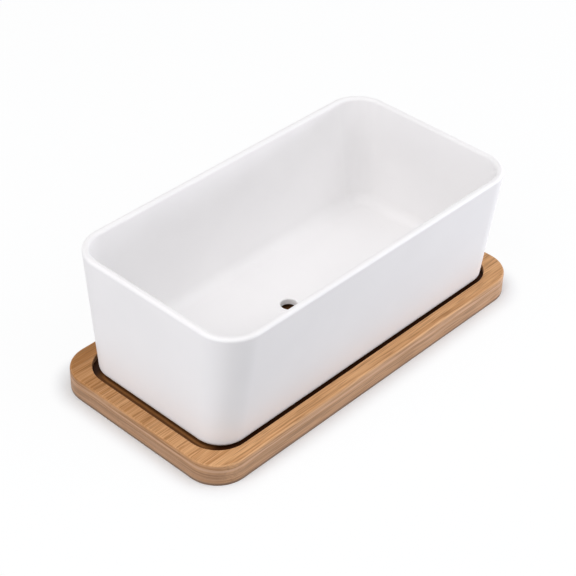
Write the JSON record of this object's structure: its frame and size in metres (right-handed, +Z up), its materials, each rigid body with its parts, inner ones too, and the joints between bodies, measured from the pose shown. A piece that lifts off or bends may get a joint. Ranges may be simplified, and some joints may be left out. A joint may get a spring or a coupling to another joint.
{
  "type": "indoor herb planter",
  "caption": "Rectangular white glazed trough with rounded corners, a drain in its coved floor, standing loose in the recess of a laminated bamboo drip tray.",
  "frame": {"origin": "on the table, under the middle of the tray's underside", "axes": "+X along the planter's length, +Y across it to the back, +Z up"},
  "size_m": [0.2824, 0.1418, 0.099],
  "materials": {
    "white_glaze": "smooth satin white glaze",
    "bamboo_face": "sanded and oiled flat bamboo",
    "bamboo_pale": "sanded bamboo, paler layer",
    "bamboo_edge": "sanded bamboo, edge and end grain"
  },
  "bodies": {
    "tray": {"bottom_layer_strip_1": "bamboo_edge", "bottom_layer_strip_2": "bamboo_edge", "bottom_layer_strip_3": "bamboo_edge", "bottom_layer_strip_4": "bamboo_edge", "bottom_layer_strip_5": "bamboo_edge", "bottom_layer_strip_6": "bamboo_edge", "bottom_layer_strip_7": "bamboo_edge", "second_layer_strip_1": "bamboo_pale", "second_layer_strip_2": "bamboo_pale", "second_layer_strip_3": "bamboo_pale", "second_layer_strip_4": "bamboo_pale", "second_layer_strip_5": "bamboo_pale", "second_layer_strip_6": "bamboo_pale", "second_layer_strip_7": "bamboo_pale", "third_layer_strip_1": "bamboo_edge", "third_layer_strip_2": "bamboo_edge", "third_layer_strip_3": "bamboo_edge", "third_layer_strip_4": "bamboo_edge", "third_layer_strip_5": "bamboo_edge", "third_layer_strip_6": "bamboo_edge", "third_layer_strip_7": "bamboo_edge", "third_layer_strip_8": "bamboo_edge", "top_back_strip": "bamboo_face", "top_front_strip": "bamboo_face", "top_left_end_1": "bamboo_face", "top_left_end_2": "bamboo_face", "top_left_end_3": "bamboo_face", "top_left_end_4": "bamboo_face", "top_left_end_5": "bamboo_face", "top_left_end_6": "bamboo_face", "top_right_end_1": "bamboo_face", "top_right_end_2": "bamboo_face", "top_right_end_3": "bamboo_face", "top_right_end_4": "bamboo_face", "top_right_end_5": "bamboo_face", "top_right_end_6": "bamboo_face"},
    "pot": {"ceramic_pot": "white_glaze"}
  },
  "joints": [
    {"name": "pot_lift", "type": "slide", "parent": "tray", "child": "pot", "axis": [0, 0, 1], "range_m": [0, 0.06]}
  ]
}
